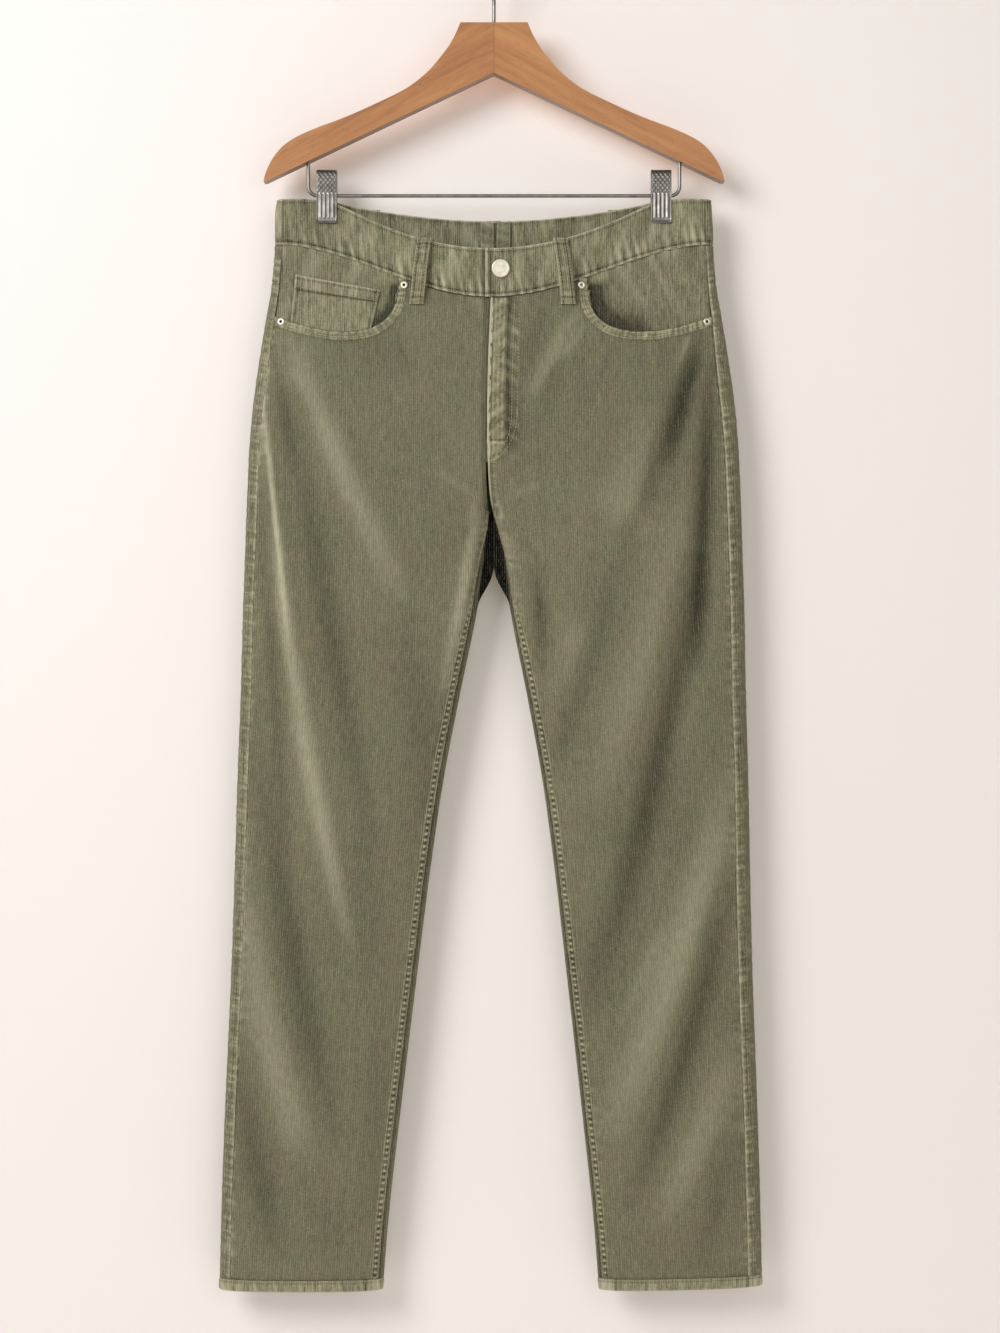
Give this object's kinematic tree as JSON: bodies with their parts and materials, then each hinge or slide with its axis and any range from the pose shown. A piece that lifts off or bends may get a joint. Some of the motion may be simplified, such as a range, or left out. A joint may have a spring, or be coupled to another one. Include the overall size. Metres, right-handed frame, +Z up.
{
  "type": "corduroy trousers on a wooden clip hanger",
  "caption": "Straight-leg corduroy trousers hung flat by the waistband from the spring clips of a contoured wooden hanger with a drop bar and a wire hook.",
  "frame": {"origin": "inside top of the hook's bend, where the hook rests on its rail, in the plane midway through the hanger", "axes": "+Z up; the trousers' front faces -Y; +X is the wearer's left, the viewer's right when seen from the front"},
  "size_m": [0.5257, 0.0575, 1.3246],
  "materials": {
    "corduroy": "sage green fine-wale cotton corduroy, brushed",
    "varnished_wood": "warm brown wood, satin varnish",
    "plated_steel": "grey plated steel, satin",
    "nickel": "aged nickel plating",
    "label_weave": "plain mauve-grey woven tape",
    "tab_weave": "plain green woven tape"
  },
  "bodies": {
    "root": {"back_left": "corduroy", "back_pocket_left": "corduroy", "back_pocket_right": "corduroy", "back_right": "corduroy", "belt_loop_back_centre": "corduroy", "belt_loop_back_left": "corduroy", "belt_loop_back_right": "corduroy", "belt_loop_front_left": "corduroy", "belt_loop_front_right": "corduroy", "button": "nickel", "clip_left": "plated_steel", "clip_right": "plated_steel", "coin_pocket": "corduroy", "drop_bar": "plated_steel", "fly_placket": "corduroy", "front_left": "corduroy", "front_right": "corduroy", "hanger_wood": "varnished_wood", "hem_left": "corduroy", "hem_right": "corduroy", "hook": "plated_steel", "inner_label": "label_weave", "inner_tab": "tab_weave", "pocket_facing_left": "corduroy", "pocket_facing_right": "corduroy", "rivet_lower_left": "nickel", "rivet_lower_right": "nickel", "rivet_upper_left": "nickel", "rivet_upper_right": "nickel", "waistband_back": "corduroy", "waistband_front_left": "corduroy", "waistband_front_right": "corduroy", "yoke_left": "corduroy", "yoke_right": "corduroy"}
  },
  "joints": []
}
